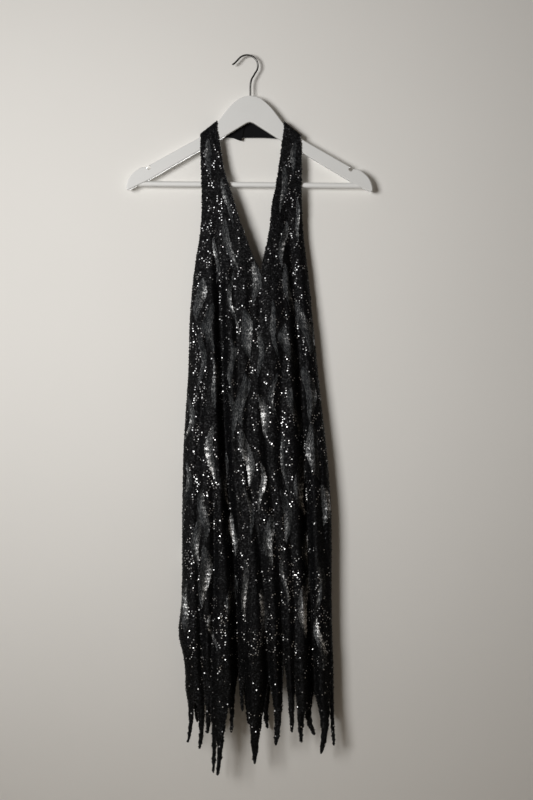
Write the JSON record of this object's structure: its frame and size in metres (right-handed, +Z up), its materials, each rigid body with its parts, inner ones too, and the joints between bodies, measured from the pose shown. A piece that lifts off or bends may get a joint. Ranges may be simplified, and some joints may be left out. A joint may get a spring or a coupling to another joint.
{
  "type": "beaded evening dress on a wooden hanger",
  "caption": "Long halter-neck evening dress covered in black beads and sequins, with a deep V, a low back and a pointed hem, hung by its straps over a flat wooden hanger.",
  "frame": {"origin": "inner top of the hanger hook's bend, where it rests on what holds it up", "axes": "+Z up, -Y to the front of the dress, +X to the wearer's left"},
  "size_m": [0.4304, 0.0651, 1.253],
  "materials": {
    "front_beaded_cloth": "black net covered with black beads and sequins",
    "back_beaded_cloth": "black net covered with black beads and sequins",
    "neckband_cloth": "plain matte black",
    "neck_buttons": "gloss black",
    "hanger_paint": "satin off-white paint",
    "hook_steel": "polished"
  },
  "bodies": {
    "root": {"front": "front_beaded_cloth", "back": "back_beaded_cloth", "neckband_left": "neckband_cloth", "neckband_right": "neckband_cloth", "neck_button_upper": "neck_buttons", "neck_button_lower": "neck_buttons", "hanger_body": "hanger_paint", "hanger_bar": "hanger_paint", "hanger_hook": "hook_steel"}
  },
  "joints": []
}
